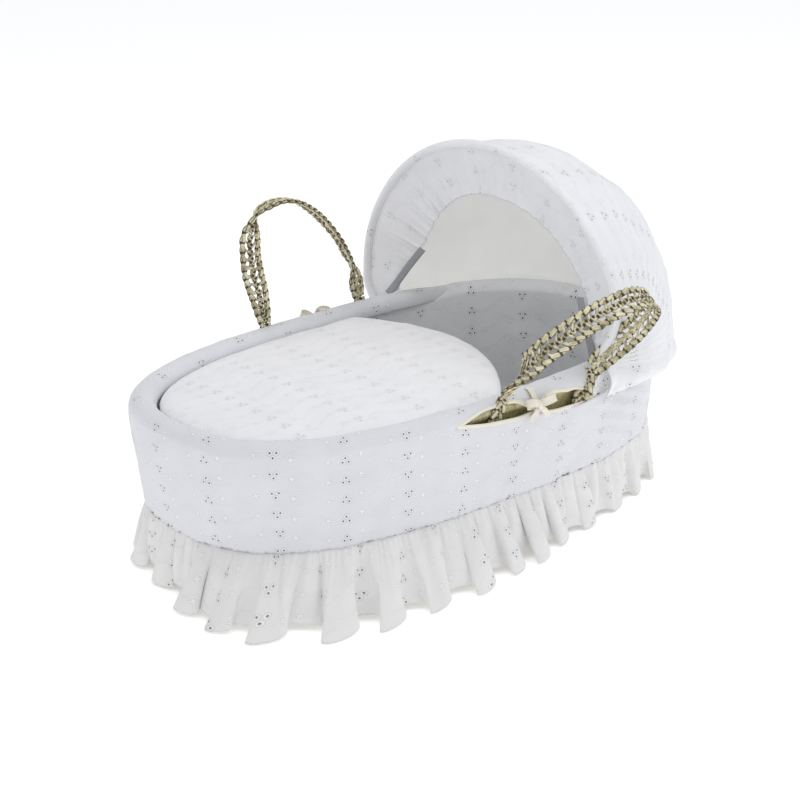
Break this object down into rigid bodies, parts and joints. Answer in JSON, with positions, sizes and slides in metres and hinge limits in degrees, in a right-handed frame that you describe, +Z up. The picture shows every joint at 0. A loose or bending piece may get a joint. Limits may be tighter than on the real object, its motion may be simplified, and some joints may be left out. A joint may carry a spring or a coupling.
{
  "type": "moses basket",
  "caption": "Dressed moses basket: woven oval body with padded rim, embroidered band, gathered frill, folding hood, ribbon handles, mattress and coverlet.",
  "frame": {"origin": "centre of the woven base's flat underside, on the floor", "axes": "+X to the head (hood) end, +Z up, +Y to the far side in the picture"},
  "size_m": [0.926, 0.6155, 0.5174],
  "materials": {
    "woven_palm": "plaited dry palm leaf",
    "white_cotton": "white poly-cotton over padding",
    "band_cotton": "white broderie anglaise",
    "frill_cotton": "white broderie anglaise, gathered",
    "cream_binding": "cream bias binding and ribbon",
    "hood_cotton": "white broderie anglaise",
    "liner_cotton": "white broderie anglaise, padded",
    "quilt_cotton": "white broderie anglaise over wadding",
    "foam": "foam"
  },
  "bodies": {
    "basket": {"basket_base": "woven_palm", "basket_wall": "woven_palm", "rim_coil": "woven_palm", "handle_anchor_near_front": "woven_palm", "handle_anchor_near_back": "woven_palm", "handle_anchor_far_front": "woven_palm", "handle_anchor_far_back": "woven_palm", "floor_liner": "liner_cotton", "wall_liner": "liner_cotton", "rim_roll": "white_cotton", "outer_band": "band_cotton", "gather_tape": "white_cotton", "frill": "frill_cotton", "slot_binding_near_upper": "cream_binding", "slot_binding_near_lower": "cream_binding", "slot_binding_far_upper": "cream_binding", "slot_binding_far_lower": "cream_binding", "slot_tie_near": "cream_binding", "slot_tie_far": "cream_binding", "slot_bow_near": "cream_binding", "slot_bow_far": "cream_binding", "hood_back_panel": "hood_cotton", "hood_skirt": "hood_cotton", "hood_hem_elastic": "hood_cotton", "hood_pocket_near": "hood_cotton", "hood_pocket_far": "hood_cotton"},
    "mattress": {"mattress_foam": "foam", "mattress_cover": "white_cotton"},
    "coverlet": {"coverlet": "quilt_cotton"},
    "hood": {"hood_hoop": "hood_cotton", "hood_front_panel": "hood_cotton", "hood_facing": "hood_cotton", "facing_elastic": "hood_cotton", "hood_stay_near": "hood_cotton", "hood_stay_far": "hood_cotton"},
    "handle_near": {"handle_near": "woven_palm"},
    "handle_far": {"handle_far": "woven_palm"}
  },
  "joints": [
    {"name": "hood_fold", "type": "hinge", "parent": "basket", "child": "hood", "pos_m": [0.165, 0, 0.24], "axis": [0, 1, 0], "range_deg": [0, 42]},
    {"name": "handle_near_swing", "type": "hinge", "parent": "basket", "child": "handle_near", "pos_m": [0.05, -0.2262, 0.243], "axis": [1, 0, 0], "range_deg": [0, 85]},
    {"name": "handle_far_swing", "type": "hinge", "parent": "basket", "child": "handle_far", "pos_m": [0, 0.2262, 0.243], "axis": [-1, 0, 0], "range_deg": [-72, 118]},
    {"name": "coverlet_lift", "type": "slide", "parent": "basket", "child": "coverlet", "axis": [0, 0, 1], "range_m": [0, 0.3]},
    {"name": "mattress_lift", "type": "slide", "parent": "basket", "child": "mattress", "axis": [0, 0, 1], "range_m": [0, 0.12]}
  ]
}
